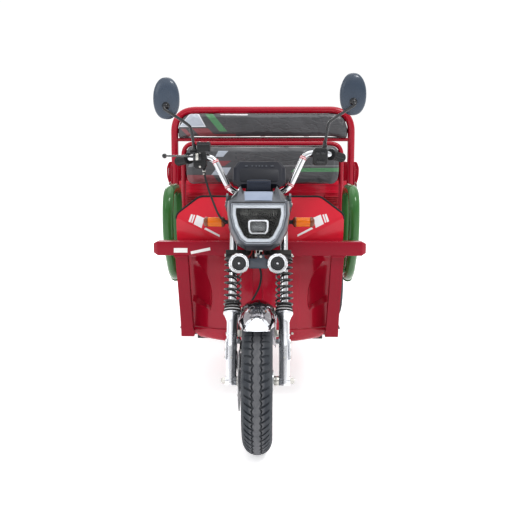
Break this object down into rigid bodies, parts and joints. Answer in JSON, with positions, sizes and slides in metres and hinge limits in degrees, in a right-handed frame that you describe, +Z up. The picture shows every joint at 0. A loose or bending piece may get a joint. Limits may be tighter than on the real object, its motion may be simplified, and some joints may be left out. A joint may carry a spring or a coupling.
{
  "type": "electric cargo tricycle",
  "caption": "Open electric cargo tricycle with a raked front fork, leg shield, driver's bench, and a drop-sided bed with a headboard over driven rear wheels.",
  "frame": {"origin": "on the ground, at the middle of the whole vehicle's bounding box", "axes": "+Z up, -Y towards the front, +X to the left of a rider who faces forwards"},
  "size_m": [0.942, 2.8749, 1.2064],
  "materials": {
    "red_paint": "gloss paint",
    "green_paint": "gloss paint",
    "black_paint": "satin paint",
    "floor_steel": "worn paint",
    "battery_case": "matte",
    "vinyl": "wrinkled gloss vinyl",
    "bright_metal": "polished",
    "silver_paint": "satin",
    "disc_steel": "brushed",
    "spring_steel": "gloss paint",
    "shroud_plastic": "metallic gloss",
    "black_plastic": "matte",
    "reflector": "polished",
    "lens": "clear",
    "amber_plastic": "gloss",
    "red_lens": "gloss",
    "rubber": "matte",
    "tyre": "matte"
  },
  "bodies": {
    "chassis": {"main_frame": "black_paint", "leg_shield": "red_paint", "front_bumper": "red_paint", "footwell_floor": "floor_steel", "seat_box": "red_paint", "battery_pack": "battery_case", "backrest_frame": "red_paint", "backrest_cushion": "vinyl", "guard_loops": "green_paint", "bed_floor": "red_paint", "bed_front_wall": "red_paint", "headboard_frame": "red_paint", "headboard_pad": "vinyl", "leaf_springs": "black_paint", "rear_axle": "black_paint", "drive_motor": "black_paint", "rear_bumper": "red_paint", "tail_lights": "red_lens", "brake_pedal": "black_paint"},
    "fork": {"steering_yokes": "black_paint", "fork_stanchions": "bright_metal", "fork_lower_legs": "silver_paint", "fork_springs": "spring_steel", "front_axle": "silver_paint", "brake_caliper": "black_paint", "brake_hose": "rubber", "front_mudguard": "bright_metal", "headlight_shroud": "shroud_plastic", "headlight_unit": "reflector", "headlight_lens": "lens", "indicators": "amber_plastic", "horns": "bright_metal", "instrument": "shroud_plastic", "handlebar": "bright_metal", "grips": "rubber", "brake_lever": "black_plastic", "switch_pod": "black_plastic", "mirrors": "shroud_plastic"},
    "front_wheel": {"front_tyre": "tyre", "front_rim": "silver_paint", "brake_disc": "disc_steel"},
    "rear_wheel_left": {"rear_tyre_left": "tyre", "rear_rim_left": "silver_paint"},
    "rear_wheel_right": {"rear_tyre_right": "tyre", "rear_rim_right": "silver_paint"},
    "left_gate": {"left_gate": "red_paint"},
    "right_gate": {"right_gate": "red_paint"},
    "tailgate": {"tailgate": "red_paint"},
    "seat_lid": {"seat_base": "black_paint", "seat_cushion": "vinyl"}
  },
  "joints": [
    {"name": "steering", "type": "hinge", "parent": "chassis", "child": "fork", "pos_m": [0, -1.16418, 0.20687], "axis": [0, 0.4226, 0.9063], "range_deg": [-38, 38]},
    {"name": "front_wheel_spin", "type": "hinge", "parent": "fork", "child": "front_wheel", "pos_m": [0, -1.2095, 0.228], "axis": [1, 0, 0], "continuous": true},
    {"name": "rear_wheel_left_spin", "type": "hinge", "parent": "chassis", "child": "rear_wheel_left", "pos_m": [-0.39, 0.7305, 0.228], "axis": [1, 0, 0], "continuous": true},
    {"name": "rear_wheel_right_spin", "type": "hinge", "parent": "chassis", "child": "rear_wheel_right", "pos_m": [0.39, 0.7305, 0.228], "axis": [1, 0, 0], "continuous": true},
    {"name": "left_gate_hinge", "type": "hinge", "parent": "chassis", "child": "left_gate", "pos_m": [-0.462, 0.7805, 0.575], "axis": [0, -1, 0], "range_deg": [0, 175]},
    {"name": "right_gate_hinge", "type": "hinge", "parent": "chassis", "child": "right_gate", "pos_m": [0.462, 0.7805, 0.575], "axis": [0, 1, 0], "range_deg": [0, 175]},
    {"name": "tailgate_hinge", "type": "hinge", "parent": "chassis", "child": "tailgate", "pos_m": [0, 1.4285, 0.575], "axis": [-1, 0, 0], "range_deg": [0, 175]},
    {"name": "seat_lid_hinge", "type": "hinge", "parent": "chassis", "child": "seat_lid", "pos_m": [0, -0.4315, 0.611], "axis": [1, 0, 0], "range_deg": [0, 80]}
  ]
}
